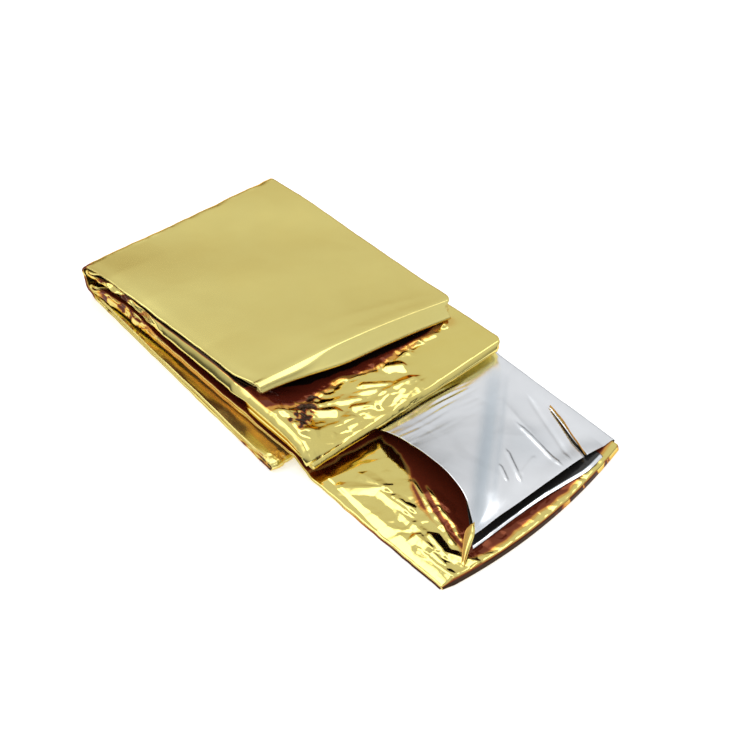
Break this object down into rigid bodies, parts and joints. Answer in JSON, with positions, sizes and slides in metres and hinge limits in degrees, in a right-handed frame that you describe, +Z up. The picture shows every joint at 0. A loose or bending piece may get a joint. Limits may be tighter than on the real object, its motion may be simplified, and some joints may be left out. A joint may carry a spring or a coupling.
{
  "type": "emergency foil blanket",
  "caption": "Gold and silver film rescue blanket, folded lengthwise into a strip and zigzag into a stepped stack, its end pulled out with the upper ply lifted.",
  "frame": {"origin": "centre of the bounding box's base, on the surface the blanket lies on", "axes": "+X along the folded strip towards its open end, +Y across the strip from the side of the lifted ply's free edge, +Z up"},
  "size_m": [0.242, 0.12, 0.0204],
  "materials": {
    "gold_foil": "gold-lacquered metallised film, bright and creased",
    "silver_foil": "silver metallised film, satin"
  },
  "bodies": {
    "root": {"foil_blanket": "gold_foil"}
  },
  "joints": []
}
